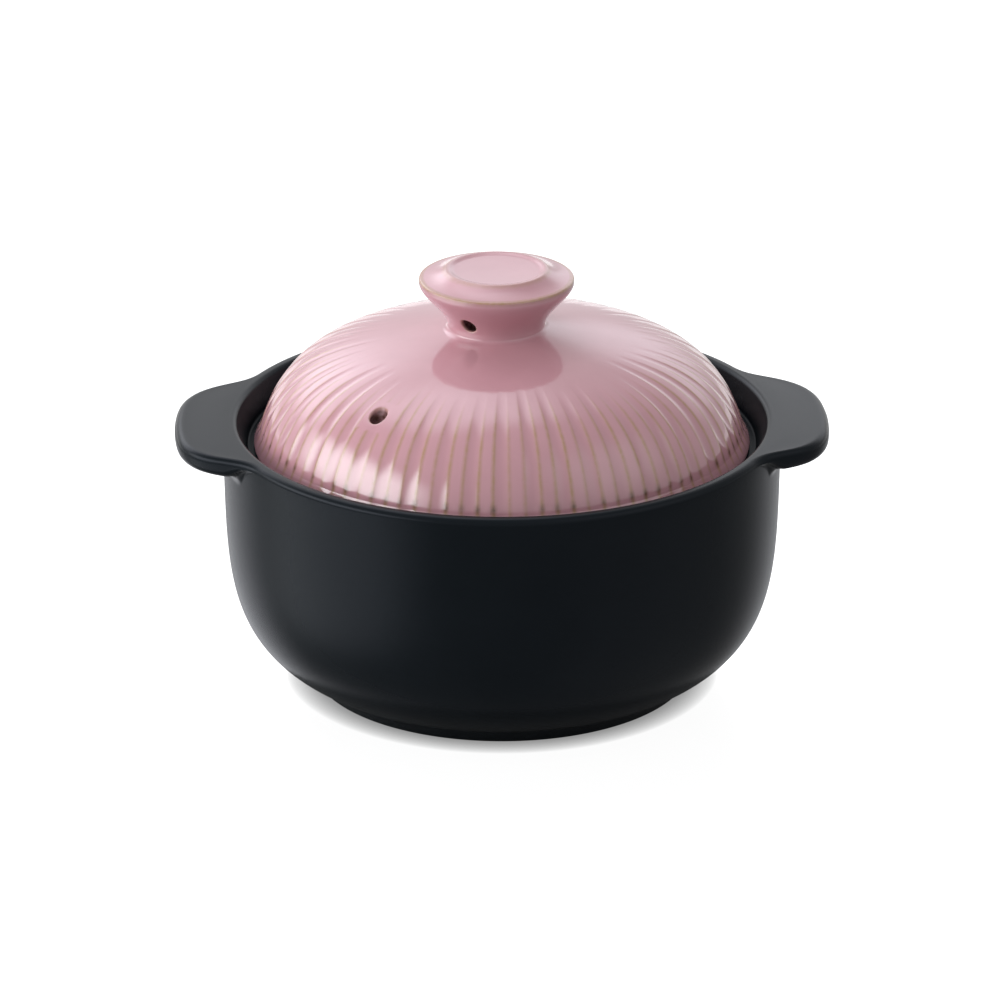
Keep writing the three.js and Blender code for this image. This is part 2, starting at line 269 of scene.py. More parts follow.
def arc(centre, radius, first, last, steps=ROUND_STEPS):
    angles = np.radians(np.linspace(first, last, steps + 1))
    across = centre[0] + radius * np.cos(angles)
    up = centre[1] + radius * np.sin(angles)
    return np.column_stack((across, up))


def rounded(corners):
    """An outline through corners given as (radius, height, round). A round of 0 keeps the corner."""
    points = []
    for number, (radius, height, size) in enumerate(corners):
        at = np.array((radius, height))
        if size == 0:
            points.append(at)
            continue
        back = unit(np.array(corners[number - 1][:2]) - at)
        ahead = unit(np.array(corners[number + 1][:2]) - at)
        half = math.acos(back @ ahead) / 2
        centre = at + unit(back + ahead) * size / math.sin(half)
        start = at + back * size / math.tan(half) - centre
        end = at + ahead * size / math.tan(half) - centre
        sweep = math.pi - 2 * half
        for share in np.linspace(0, 1, ROUND_STEPS + 1):
            turn = start * math.sin((1 - share) * sweep) + end * math.sin(share * sweep)
            points.append(centre + turn / math.sin(sweep))
    return np.array(points)


def joined(*stretches):
    """One outline from several stretches, without the points that they share."""
    points = np.vstack(stretches)
    steps = np.linalg.norm(np.diff(points, axis=0), axis=1)
    return points[np.append(True, steps > SAME_PLACE)]


def outward(outline):
    """Unit normals of an outline, on its right-hand side."""
    along = np.gradient(outline, axis=0)
    normal = np.column_stack((along[:, 1], -along[:, 0]))
    return normal / np.linalg.norm(normal, axis=1, keepdims=True)


def round_the_axis(columns):
    """Angles of evenly spaced columns, from the back."""
    return math.pi / 2 + np.arange(columns) * 2 * math.pi / columns


def turned(outline, angles):
    """An outline's points at each angle about the Z axis."""
    radius = outline[:, :1]
    height = np.broadcast_to(outline[:, 1:], (len(outline), len(angles)))
    return np.stack((radius * np.cos(angles), radius * np.sin(angles), height), axis=-1)


class Skin:
    """A closed skin made of grids of corners. Rows run along its outline and columns run round it."""

    def __init__(self):
        self.places = np.zeros((0, 3))
        self.values = {"thin": np.zeros(0), "pooled": np.zeros(0), "scorched": np.zeros(0)}
        self.patches = []
        self.facings = []

    def add(self, places, **values):
        """Adds corners, with how the glaze lies on them and where shade is painted on them, and returns
        their numbers.
        """
        shape = places.shape[:-1]
        first = len(self.places)
        self.places = np.vstack((self.places, places.reshape(-1, 3)))
        for name, known in self.values.items():
            added = np.broadcast_to(values.get(name, 0.0), shape).reshape(-1)
            self.values[name] = np.append(known, added)
        return np.arange(first, len(self.places)).reshape(shape)

    def add_pole(self, height, columns):
        """One corner on the axis, as a row of a grid."""
        number = self.add(np.array(((0.0, 0.0, height),)))
        return np.broadcast_to(number, (1, columns))

    def cover(self, numbers, wraps=True, material=0, shown=True, window=None):
        """Covers a grid of corners with faces, apart from a square window (row, column, size)."""
        grid = np.hstack((numbers, numbers[:, :1])) if wraps else numbers
        faces = np.stack((grid[:-1, :-1], grid[:-1, 1:], grid[1:, 1:], grid[1:, :-1]), axis=-1)
        kept = np.ones(faces.shape[:2], bool)
        if window:
            row, column, size = window
            kept[row:row + size, column:column + size] = False
        self.patches.append((faces[kept], material, shown))

    def face(self, numbers, normals):
        """Gives corners the normals of the surface that they run into."""
        self.facings.append((numbers.reshape(-1), normals.reshape(-1, 3)))

    def merged(self, numbers):
        """Numbers of a line of corners, with a single number for neighbours that coincide."""
        steps = np.linalg.norm(np.diff(self.places[numbers], axis=0), axis=1)
        first = np.append(True, steps > SAME_PLACE)
        return numbers[first][np.cumsum(first) - 1]

    def normals(self):
        """Smooth normals from the faces that show, or from the hidden ones where none shows."""
        total = np.zeros_like(self.places)
        spare = np.zeros_like(self.places)
        for faces, _, shown in self.patches:
            across = self.places[faces[:, 2]] - self.places[faces[:, 0]]
            up = self.places[faces[:, 3]] - self.places[faces[:, 1]]
            areas = np.cross(across, up)
            for corner in range(4):
                np.add.at(total if shown else spare, faces[:, corner], areas)
        hidden = np.linalg.norm(total, axis=1) == 0
        total[hidden] = spare[hidden]
        for numbers, normals in self.facings:
            total[numbers] = normals
        sizes = np.linalg.norm(total, axis=1, keepdims=True)
        return total / np.where(sizes > 0, sizes, 1)

    def turn(self, degrees):
        """Turns the skin about the Z axis."""
        cosine, sine = direction(degrees)
        rotation = np.array(((cosine, sine, 0), (-sine, cosine, 0), (0, 0, 1)))
        self.places = self.places @ rotation
        self.facings = [(numbers, normals @ rotation) for numbers, normals in self.facings]

    def piece(self, node, body, materials):
        """Makes the skin into an object that stands for a CAD node and rides on its body."""
        used = np.unique(np.concatenate([quads.reshape(-1) for quads, _, _ in self.patches]))
        faces = []
        finishes = []
        for quads, material, _ in self.patches:
            for quad in np.searchsorted(used, quads).tolist():
                corners = tuple(dict.fromkeys(quad))
                if len(corners) > 2:
                    faces.append(corners)
                    finishes.append(material)
        mesh = bpy.data.meshes.new(node + "_skin")
        mesh.from_pydata(self.places[used].tolist(), [], faces)
        for material in materials:
            mesh.materials.append(material)
        mesh.polygons.foreach_set("material_index", finishes)
        mesh.shade_smooth()
        mesh.normals_split_custom_set_from_vertices(self.normals()[used].tolist())
        for name, values in self.values.items():
            attribute = mesh.attributes.new(name, "FLOAT", "POINT")
            attribute.data.foreach_set("value", values[used].astype(np.float32))
        dressed = bpy.data.objects.new(node + "_skin", mesh)
        bpy.context.scene.collection.objects.link(dressed)
        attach(dressed, body)
        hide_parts(node)
        return dressed


def window_loop(numbers, window):
    """Corners round a square window, first along its first row."""
    row, column, size = window
    along = numbers[row, column:column + size]
    up = numbers[row:row + size, column + size]
    back = numbers[row + size, column + size:column:-1]
    down = numbers[row + size:row:-1, column]
    return np.concatenate((along, up, back, down))


class Bore:
    """A straight round hole through a skin, seen along its axis: across is rightwards and up upwards."""

    def __init__(self, radius, lip, across, up):
        self.radius = radius
        self.lip = lip
        self.across = across
        self.up = up

    def seen(self, places, centre):
        """Places as they lie in the view along the axis."""
        offset = places - centre
        return np.column_stack((offset @ self.across, offset @ self.up))

    def edge(self, count, first, sense):
        """Evenly spaced points of the hole's edge in that view."""
        angles = np.radians(first + sense * 360 * np.arange(count) / count)
        return self.radius * np.column_stack((np.cos(angles), np.sin(angles)))

    def fill(self, skin, loop, centre, place, inward, first, sense):
        """Fills a window from its loop to the hole's rounded lip. Returns the ring inside the lip."""
        outer = self.seen(skin.places[loop], centre)
        hole = self.edge(len(loop), first, sense)
        rows = [loop]
        for share in VENT_RINGS:
            at = hole + (outer - hole) * share
            gap = np.minimum(np.linalg.norm(at, axis=1) - self.radius, self.lip)
            sunk = self.lip - np.sqrt(np.maximum(self.lip**2 - (self.lip - gap) ** 2, 0))
            worn = 1 - smooth(gap, 0.3 * self.lip, self.lip)
            rows.append(skin.add(place(at) + inward * sunk[:, None], thin=0.5 * worn))
        skin.cover(np.array(rows))
        return rows[-1]

    def line(self, skin, outer_ring, inner_ring):
        """Joins the outer ring to the inner one, whose corners run the other way round."""
        count = len(outer_ring)
        facing = inner_ring[(3 * count // 4 - np.arange(count)) % count]
        start = skin.places[outer_ring]
        end = skin.places[facing]
        rows = [outer_ring]
        for share in np.linspace(0, 1, TUBE_STEPS + 1)[1:-1]:
            # The tube's wall is painted dark brown: the clay's own brown, with painted shade inside the
            # hole.
            rows.append(skin.add(start + (end - start) * share, scorched=1.0))
        rows.append(facing)
        skin.cover(np.array(rows))


def bowl_wall():
    """The bowl's outside from the foot up to the upright band under the rim."""
    foot = np.array((BASE_RADIUS, FOOT_HEIGHT))
    band = np.array((RIM_RADIUS, RIM_HEIGHT - RIM_BAND))
    belly = foot + BELLY_PULL * direction(BELLY_ANGLE)
    waist = band - np.array((WALL_LEAN, WALL_PULL))
    return bezier((foot, belly, waist, band))


def wall_radius(height):
    wall = bowl_wall()
    return np.interp(height, wall[:, 1], wall[:, 0])


def rim_outer_round():
    return arc(RIM_ROUND_CENTRE, RIM_OUTER_ROUND, 0, 90)


def bowl_inside():
    """The bowl's inside from the rim's top, down over the gallery and the wall, to the floor's middle."""
    wall = bowl_wall()
    inset = (wall - outward(wall) * BOWL_WALL)[::-1]
    floor = FOOT_HEIGHT + BOWL_FLOOR
    ledge_outer = RIM_RADIUS - RIM_WIDTH - GALLERY_TAPER
    ledge_inner = ledge_outer - LEDGE_WIDTH
    ledge_under = LEDGE_HEIGHT - LEDGE_THICKNESS
    wall_top = ledge_under - LEDGE_SLOPE
    wall_foot = floor + FLOOR_ROUND / 4
    kept = inset[(inset[:, 1] < wall_top) & (inset[:, 1] > wall_foot)]
    top_radius = np.interp(wall_top, inset[::-1, 1], inset[::-1, 0])
    floor_radius = np.interp(floor, inset[::-1, 1], inset[::-1, 0])
    gallery = rounded((
        (RIM_RADIUS - RIM_OUTER_ROUND, RIM_HEIGHT, 0),
        (RIM_RADIUS - RIM_WIDTH, RIM_HEIGHT, RIM_INNER_ROUND),
        (ledge_outer, LEDGE_HEIGHT, GALLERY_ROUND),
        (ledge_inner, LEDGE_HEIGHT, LEDGE_ROUND),
        (ledge_inner, ledge_under, LEDGE_ROUND),
        (top_radius, wall_top, LEDGE_SLOPE / 2),
        (*kept[1], 0),
    ))
    floor_corner = rounded(((*kept[-1], 0), (floor_radius, floor, FLOOR_ROUND), (0, floor, 0)))
    return joined(gallery, kept[2:], floor_corner)


def pot_bowl(glaze):
    """The bowl from its base, up over the rim and down to its floor. The gallery's glaze is thin."""
    skin = Skin()
    angles = round_the_axis(POT_COLUMNS)
    recess = FOOT_RADIUS - FOOT_WIDTH - FOOT_INNER_LEAN
    under = np.array(((recess, FOOT_HEIGHT), (BASE_RADIUS, FOOT_HEIGHT)))
    outline = joined(under, bowl_wall(), rim_outer_round(), bowl_inside())
    rings = outline[:-1]
    radius = rings[:, :1]
    height = rings[:, 1:]
    inside_rim = radius < RIM_RADIUS - RIM_WIDTH + RIM_INNER_ROUND / 2
    below_rim = 1 - smooth(height, RIM_HEIGHT - 2 * RIM_INNER_ROUND, RIM_HEIGHT)
    down_to_ledge = height > LEDGE_HEIGHT - LEDGE_THICKNESS
    dry = inside_rim * below_rim * down_to_ledge
    ring_rows = skin.add(turned(rings, angles), thin=dry)
    base = skin.add_pole(FOOT_HEIGHT, POT_COLUMNS)
    floor = skin.add_pole(outline[-1, 1], POT_COLUMNS)
    skin.cover(np.vstack((base, ring_rows[:1])))
    skin.cover(ring_rows[:2], shown=False)
    skin.cover(np.vstack((ring_rows[1:], floor)))
    return skin.piece("pot_bowl", "pot", (glaze,))


def foot_ring(glaze, clay):
    """The foot, of bare clay inside and where it stands, and glazed up its outer side."""
    skin = Skin()
    angles = round_the_axis(POT_COLUMNS)
    inner = FOOT_RADIUS - FOOT_WIDTH
    inner_top = (inner - FOOT_INNER_LEAN, FOOT_HEIGHT, 0)
    outer_top = (BASE_RADIUS, FOOT_HEIGHT, 0)
    outline = rounded((inner_top, (inner, 0, FOOT_ROUND), (FOOT_RADIUS, 0, FOOT_ROUND), outer_top))
    rows = skin.add(turned(outline, angles))
    glazed_from = len(outline) - GLAZED_FOOT_ROWS
    skin.cover(rows[:glazed_from], material=1)
    skin.cover(rows[glazed_from - 1:])
    skin.cover(np.vstack((rows[-1:], rows[:1])), shown=False)
    return skin.piece("foot_ring", "pot", (glaze, clay))


def handle_stations():
    """Angles in degrees, and reach from the pot's axis, of a handle's sections from end to end."""
    flank = bezier((
        (HANDLE_TIP_ANGLE, HANDLE_TIP),
        (HANDLE_TIP_ANGLE + HANDLE_TIP_SWEEP, HANDLE_TIP),
        (HANDLE_ROOT_ANGLE - HANDLE_ROOT_SWEEP, RIM_RADIUS),
        (HANDLE_ROOT_ANGLE, RIM_RADIUS),
    ))
    tip_angles = np.linspace(-HANDLE_TIP_ANGLE, HANDLE_TIP_ANGLE, CURVE_STEPS // 2 + 1)
    tip = np.column_stack((tip_angles, np.full_like(tip_angles, HANDLE_TIP)))
    mirrored = flank[::-1] * np.array((-1, 1))
    return joined(mirrored, tip, flank)


def handle_section(reach):
    """A handle's section from the wall under it, out round its edge, and in over its top to the rim.
    It shrinks to the rim's own section where the handle runs out."""
    depth = reach - RIM_RADIUS
    share_out = depth / (HANDLE_TIP - RIM_RADIUS)
    drop = HANDLE_DROP * smooth(share_out, 0, 1)
    top = RIM_HEIGHT - drop
    edge_round = RIM_OUTER_ROUND + (HANDLE_ROUND - RIM_OUTER_ROUND) * share_out
    thickness = edge_round + (HANDLE_THICKNESS - edge_round) * smooth(share_out, 0, HANDLE_TAPER)
    under = top - thickness
    low_round = min(soft_least(HANDLE_ROUND, depth / 2), thickness - edge_round)
    fillet = soft_least(HANDLE_FILLET, depth - low_round)
    root = wall_radius(under - fillet)
    root_arc = arc((root + fillet, under - fillet), fillet, 180, 90)
    low_arc = arc((reach - low_round, under + low_round), low_round, -90, 0)
    top_arc = arc((reach - edge_round, top - edge_round), edge_round, 0, 90)
    rim_edge = RIM_RADIUS - RIM_OUTER_ROUND
    share = np.linspace(1, 0, CURVE_STEPS // 2 + 1)[1:]
    slope = np.column_stack((
        rim_edge + (reach - edge_round - rim_edge) * share,
        RIM_HEIGHT - drop * smooth(share, 0, 1),
    ))
    return np.vstack((root_arc, low_arc, top_arc, slope))


def rim_section(foot, count):
    """The bowl's own section from a height on its wall up over the rim's outer round."""
    heights = np.linspace(foot, RIM_HEIGHT - RIM_OUTER_ROUND, CURVE_STEPS)
    wall = np.column_stack((wall_radius(heights), heights))
    outline = joined(wall, rim_outer_round())
    run = np.append(0, np.cumsum(np.linalg.norm(np.diff(outline, axis=0), axis=1)))
    places = np.linspace(0, run[-1], count)
    radius = np.interp(places, run, outline[:, 0])
    height = np.interp(places, run, outline[:, 1])
    return np.column_stack((radius, height))


def handle(node, side_angle, glaze):
    """A lug whose middle is at an angle about the pot's axis."""
    skin = Skin()
    stations = handle_stations()
    angles = np.radians(stations[:, 0] + side_angle)
    sections = np.array([handle_section(reach) for reach in stations[:, 1]])
    backs = np.array([rim_section(section[0, 1], len(section)) for section in sections])

    def placed(outlines, at):
        radius = outlines[:, :, 0].T
        return np.stack((radius * np.cos(at), radius * np.sin(at), outlines[:, :, 1].T), axis=-1)

    seen = skin.add(placed(sections, angles))
    for column in (0, -1):
        seen[:, column] = skin.merged(seen[:, column])
    hidden = seen.copy()
    hidden[1:-1, 1:-1] = skin.add(placed(backs[1:-1, 1:-1], angles[1:-1]))
    skin.cover(seen, wraps=False)
    skin.cover(hidden[::-1], wraps=False, shown=False)

    for column in (0, -1):
        level, upward = ((sections[column] - RIM_ROUND_CENTRE) / RIM_OUTER_ROUND).T
        facing = (level * np.cos(angles[column]), level * np.sin(angles[column]), upward)
        skin.face(seen[:, column], np.column_stack(facing))
    skin.face(seen[0], np.column_stack((np.cos(angles), np.sin(angles), np.zeros_like(angles))))
    skin.face(seen[-1], np.broadcast_to((0.0, 0.0, 1.0), (len(angles), 3)))
    return skin.piece(node, "pot", (glaze,))


def dome_curve():
    """The dome's outside from the top of its ring to the knob."""
    ring = np.array((LID_RADIUS - LID_RING_TAPER, RING_HEIGHT))
    top = np.array((DOME_TOP_RADIUS, KNOB_SEAT + DOME_TOP_RISE))
    side = ring + DOME_SIDE_PULL * direction(90 + DOME_SIDE_LEAN)
    crown = top + DOME_TOP_PULL * direction(-DOME_TOP_SLOPE)
    return bezier((ring, side, crown, top), 10 * CURVE_STEPS)


class Dome:
    """The dome's plain surfaces and its flutes, as functions of distance from the axis and angle."""

    def __init__(self):
        self.curve = dome_curve()
        self.normal = outward(self.curve)
        self.inside = self.curve - self.normal * LID_WALL
        self.run = np.append(0, np.cumsum(np.linalg.norm(np.diff(self.curve, axis=0), axis=1)))
        self.depths = chance.uniform(0.85, 1.1, FLUTE_COUNT)
        self.starts = chance.uniform(-4, 4, FLUTE_COUNT) * MM
        self.edge_wear = chance.uniform(0.6, 1.0, (2, FLUTE_COUNT))
        self.shifts = chance.uniform(-1, 1, FLUTE_COUNT)
        self.waves = chance.uniform(0, 2 * math.pi, FLUTE_COUNT)
        angle = math.radians(-90 - DOME_VENT_ANGLE)
        self.vent = DOME_VENT_REACH * np.array((math.cos(angle), math.sin(angle)))
        self.vent_angle = angle

    def at_run(self, run):
        """Points of the curve at distances along it."""
        return np.column_stack((
            np.interp(run, self.run, self.curve[:, 0]),
            np.interp(run, self.run, self.curve[:, 1]),
        ))

    def height(self, radius):
        """Height of the plain outside, which keeps its top slope under the knob."""
        on_curve = np.interp(radius, self.curve[::-1, 0], self.curve[::-1, 1])
        under_knob = np.maximum(DOME_TOP_RADIUS - radius, 0) * math.tan(math.radians(DOME_TOP_SLOPE))
        return on_curve + under_knob

    def lean(self, radius):
        """Outward and upward parts of the plain outside's normal."""
        level = np.interp(radius, self.curve[::-1, 0], self.normal[::-1, 0])
        return level, np.sqrt(1 - level**2)

    def inside_height(self, radius):
        return np.interp(radius, self.inside[::-1, 0], self.inside[::-1, 1])

    def wander(self, angle, radius):
        """How far a flute strays from its even place, in radians."""
        turn = (angle + math.pi / 2) * FLUTE_COUNT / (2 * math.pi)
        flute = np.floor(turn).astype(int)
        share = smooth(turn - flute, 0, 1)
        here = self.stray(flute % FLUTE_COUNT, radius)
        following = self.stray((flute + 1) % FLUTE_COUNT, radius)
        fade = smooth(radius, FLUTE_START, FLUTE_START + FLUTE_RAMP)
        return math.radians(FLUTE_WANDER) * fade * (here + (following - here) * share)

    def stray(self, flute, radius):
        return self.shifts[flute] + STRAY_WAVE * np.sin(radius / STRAY_LENGTH + self.waves[flute])

    def flutes(self, angle, radius, height):
        """Depth of the channels at even angles, and how the glaze lies on them."""
        turn = (angle + math.pi / 2) * FLUTE_COUNT / (2 * math.pi)
        nearest = np.round(turn)
        flute = nearest.astype(int) % FLUTE_COUNT
        across = (turn - nearest) / CHANNEL_SHARE
        sink = 1 - across**2
        channel = (sink + np.sqrt(sink**2 + FLUTE_EDGE_SOFTNESS**2)) / 2
        start = FLUTE_START + self.starts[flute]
        deepening = smooth(radius, start, start + FLUTE_RAMP)
        run_out = smooth(height, RING_HEIGHT - FLUTE_END_DROP, RING_HEIGHT)
        depth = FLUTE_DEPTH * self.depths[flute] * deepening * run_out * channel
        wear = np.where(across < 0, self.edge_wear[0][flute], self.edge_wear[1][flute])
        edge_line = peak(np.abs(across), CHANNEL_EDGE, EDGE_LINE_WIDTH)
        thin = edge_line * wear * smooth(radius, start + EDGE_LINE_START, start + EDGE_LINE_FULL)
        foot = peak(height, RING_HEIGHT + SPOT_HEIGHT, SPOT_TALLNESS)
        spot = peak(np.abs(across), CHANNEL_EDGE, SPOT_WIDTH) * foot * smooth(wear, 0.6, 0.9)
        return depth, {
            "thin": thin * run_out,
            "pooled": channel * deepening * run_out,
            "scorched": 0.9 * spot,
        }

    def calm(self, x, y):
        """Share of the flutes' depth that is left. They flatten close to the vent."""
        from_vent = np.hypot(x - self.vent[0], y - self.vent[1])
        return CALM_SHARE + (1 - CALM_SHARE) * smooth(from_vent, CALM_START, CALM_END)

    def place(self, x, y):
        """The fluted surface's point over a place in plan."""
        angle = np.arctan2(y, x)
        radius = np.hypot(x, y)
        even = angle - self.wander(angle, radius)
        depth, _ = self.flutes(even, radius, self.height(radius))
        depth = depth * self.calm(x, y)
        level, upward = self.lean(radius)
        return np.column_stack((x, y, self.height(radius + depth * level) - depth * upward))


def flute_angles():
    """Columns for each flute and its land, closer together at the channel's edges."""
    half = np.array((0.4, 0.7, 0.86, 0.96, 1.06, 1.18, 1.5))
    period = np.concatenate((-half[::-1], (0,), half, (2,))) * CHANNEL_SHARE
    flutes = np.arange(-FLUTE_COUNT // 2, FLUTE_COUNT // 2)
    turns = (flutes[:, None] + period).reshape(-1)
    return -math.pi / 2 + turns * 2 * math.pi / FLUTE_COUNT


def dome_rows(dome):
    """Outline of the lid's outside from its seat to the crown, and the vent window's first row."""
    edge = arc((LID_RADIUS - LID_EDGE_ROUND, LEDGE_HEIGHT + LID_EDGE_ROUND), LID_EDGE_ROUND, -90, 0)
    start = dome.at_run(np.array((LID_RING_BLEND,)))[0]
    corner = rounded(((*edge[-1], 0), (*dome.curve[0], LID_RING_ROUND), (*start, 0)))
    ring = np.vstack((np.linspace(corner[0], corner[1], RING_ROWS), corner[2:]))
    zone = np.linspace(DOME_VENT_REACH + VENT_ZONE, DOME_VENT_REACH - VENT_ZONE, DOME_WINDOW + 1)
    zone_run = np.interp(zone, dome.curve[::-1, 0], dome.run[::-1])
    side = np.linspace(LID_RING_BLEND, zone_run[0], CURVE_STEPS // 2)
    crown = np.linspace(zone_run[-1], dome.run[-1], CROWN_ROWS)
    top = np.array(((CROWN_RADIUS, dome.height(CROWN_RADIUS)),))
    below = joined(edge, ring, dome.at_run(side[1:-1]))
    outline = np.vstack((below, dome.at_run(zone_run), dome.at_run(crown[1:]), top))
    return outline, len(below)


def dome_inside_rows(dome):
    """Outline of the lid's inside from the crown down to its seat, and the vent window's first row."""
    zone = np.linspace(DOME_VENT_REACH - VENT_ZONE, DOME_VENT_REACH + VENT_ZONE, DOME_WINDOW + 1)
    crown = np.linspace(CROWN_RADIUS, zone[0], CURVE_STEPS // 3)[:-1]
    side = np.linspace(zone[-1], dome.inside[0, 0], CURVE_STEPS // 3)[1:]
    radii = np.concatenate((crown, zone, side))
    wall = np.column_stack((radii, dome.inside_height(radii)))
    seat = np.array(((LID_RADIUS - LID_SEAT_WIDTH, LEDGE_HEIGHT),))
    return np.vstack((wall, seat)), len(crown)


def lid_dome(dome, glaze, clay):
    """The fluted dome, its plain inside, its clay seat and its steam vent."""
    skin = Skin()
    angles = flute_angles()
    outline, outer_row = dome_rows(dome)
    normal = outward(outline)
    radius = outline[:, :1]
    height = outline[:, 1:]
    depth, lie = dome.flutes(angles, radius, height)
    strayed = dome.wander(angles, np.broadcast_to(radius, depth.shape))
    bent = angles + strayed * smooth(height, RING_HEIGHT, RIM_HEIGHT)
    depth = depth * dome.calm(radius * np.cos(bent), radius * np.sin(bent))
    sunk_radius = radius - depth * normal[:, :1]
    sunk_height = height - depth * normal[:, 1:]
    places = np.stack((sunk_radius * np.cos(bent), sunk_radius * np.sin(bent), sunk_height), axis=-1)
    outside = skin.add(places, **lie)
    inner_outline, inner_row = dome_inside_rows(dome)
    inside = skin.add(turned(inner_outline, angles))
    crown = skin.add_pole(outline[-1, 1], len(angles))
    ceiling = skin.add_pole(inner_outline[0, 1], len(angles))

    whole_turn = 2 * math.pi * (angles < -math.pi)
    from_vent = np.abs(angles + whole_turn - dome.vent_angle)
    column = int(np.argmin(from_vent)) - DOME_WINDOW // 2
    outer_window = (outer_row, column, DOME_WINDOW)
    inner_window = (inner_row, column, DOME_WINDOW)
    skin.cover(outside, window=outer_window)
    skin.cover(np.vstack((outside[-1:], crown)))
    skin.cover(np.vstack((ceiling, inside[:1])))
    skin.cover(inside, window=inner_window)
    skin.cover(np.vstack((inside[-1:], outside[:1])), material=1, shown=False)

    axis_side = np.append(unit(dome.vent), 0)
    across = np.array((-axis_side[1], axis_side[0], 0))
    bore = Bore(DOME_VENT_RADIUS, DOME_VENT_LIP, across, -axis_side)
    centre = np.append(dome.vent, 0)
    level, upward = dome.lean(DOME_VENT_REACH)
    out_of_dome = axis_side * level + np.array((0, 0, upward))

    def over(at):
        return centre + at[:, :1] * across - at[:, 1:] * axis_side

    def outer_place(at):
        plan = over(at)
        return dome.place(plan[:, 0], plan[:, 1])

    def inner_place(at):
        plan = over(at)
        plan[:, 2] = dome.inside_height(np.hypot(plan[:, 0], plan[:, 1]))
        return plan

    outer_loop = window_loop(outside, outer_window)
    inner_loop = window_loop(inside, inner_window)
    outer_ring = bore.fill(skin, outer_loop, centre, outer_place, -out_of_dome, -135, 1)
    inner_ring = bore.fill(skin, inner_loop, centre, inner_place, out_of_dome, 135, -1)
    bore.line(skin, outer_ring, inner_ring)
    skin.turn(-LID_TURN)
    return skin.piece("lid_dome", "lid", (glaze, clay))


def knob_vent_heights():
    """Heights of the rows across the knob's vent window."""
    vent = KNOB_SEAT + KNOB_VENT_HEIGHT
    return np.linspace(vent - KNOB_VENT_ZONE_BELOW, vent + KNOB_VENT_ZONE, KNOB_WINDOW + 1)


def knob_outside():
    """The knob's outline from its neck, over the flare, the brim and the lip, to the dish's middle,
    and the flare's own curve."""
    neck = np.array((KNOB_NECK_RADIUS, KNOB_SEAT + KNOB_NECK_HEIGHT))
    widest = np.array((KNOB_RADIUS, KNOB_SEAT + KNOB_EDGE_HEIGHT))
    flare = bezier((
        neck,
        neck + np.array((0, KNOB_NECK_PULL)),
        widest - np.array((0, KNOB_FLARE_PULL)),
        widest,
    ), 4 * CURVE_STEPS)
    zone = knob_vent_heights()
    upper = flare[flare[:, 1] > zone[-1] + ROW_GAP][::4]
    flare_rows = np.vstack((
        neck,
        np.column_stack((np.interp(zone, flare[:, 1], flare[:, 0]), zone)),
        upper,
    ))
    round_centre = np.array((KNOB_RADIUS, KNOB_SEAT + KNOB_BRIM_HEIGHT)) - KNOB_BRIM_ROUND
    edge = arc(round_centre, KNOB_BRIM_ROUND, 0, 90 - KNOB_BRIM_SLOPE)
    lip = np.array((KNOB_LIP_RADIUS, KNOB_TOP - KNOB_LIP_RISE))
    brim = bezier((
        edge[-1],
        edge[-1] + KNOB_BRIM_PULL * direction(180 - KNOB_BRIM_SLOPE),
        lip + KNOB_LIP_PULL * direction(-KNOB_LIP_SLOPE),
        lip,
    ), CURVE_STEPS // 2)
    crest = np.array((KNOB_CREST_RADIUS, KNOB_TOP))
    lip_width = lip[0] - crest[0]
    rise = bezier((
        lip,
        lip + 0.4 * lip_width * direction(180 - KNOB_LIP_SLOPE),
        crest + np.array((0.5 * lip_width, 0)),
        crest,
    ), CURVE_STEPS // 4)
    dish_edge = np.array((KNOB_DISH_RADIUS, KNOB_TOP - KNOB_DISH_DEPTH))
    dish_slope = crest[0] - dish_edge[0]
    fall = bezier((
        crest,
        crest - np.array((0.4 * dish_slope, 0)),
        dish_edge + np.array((0.45 * dish_slope, 0.05 * MM)),
        dish_edge,
    ), CURVE_STEPS // 4)
    radii = np.linspace(KNOB_DISH_RADIUS, 1 * MM, DISH_ROWS)
    sag = KNOB_DISH_SAG * (1 - (radii / KNOB_DISH_RADIUS) ** 2)
    floor_rows = np.column_stack((radii, dish_edge[1] - sag))
    return joined(flare_rows, edge, brim, rise, fall, floor_rows), flare


def knob_hollow():
    """The hollow's outline from under its roof down to the neck, and the vent window's first row."""
    zone = knob_vent_heights()[::-1]
    above = np.linspace(KNOB_HOLLOW_TOP - ROW_GAP, zone[0], CURVE_STEPS // 4)[:-1]
    heights = np.concatenate((above, zone))
    return np.column_stack((hollow_radius(heights), heights)), len(above)


def hollow_radius(height):
    """Radius of the hollow, which is a tube with a domed roof."""
    rise = np.maximum(height - (KNOB_HOLLOW_TOP - KNOB_HOLLOW_RADIUS), 0)
    return np.sqrt(np.maximum(KNOB_HOLLOW_RADIUS**2 - rise**2, 0))


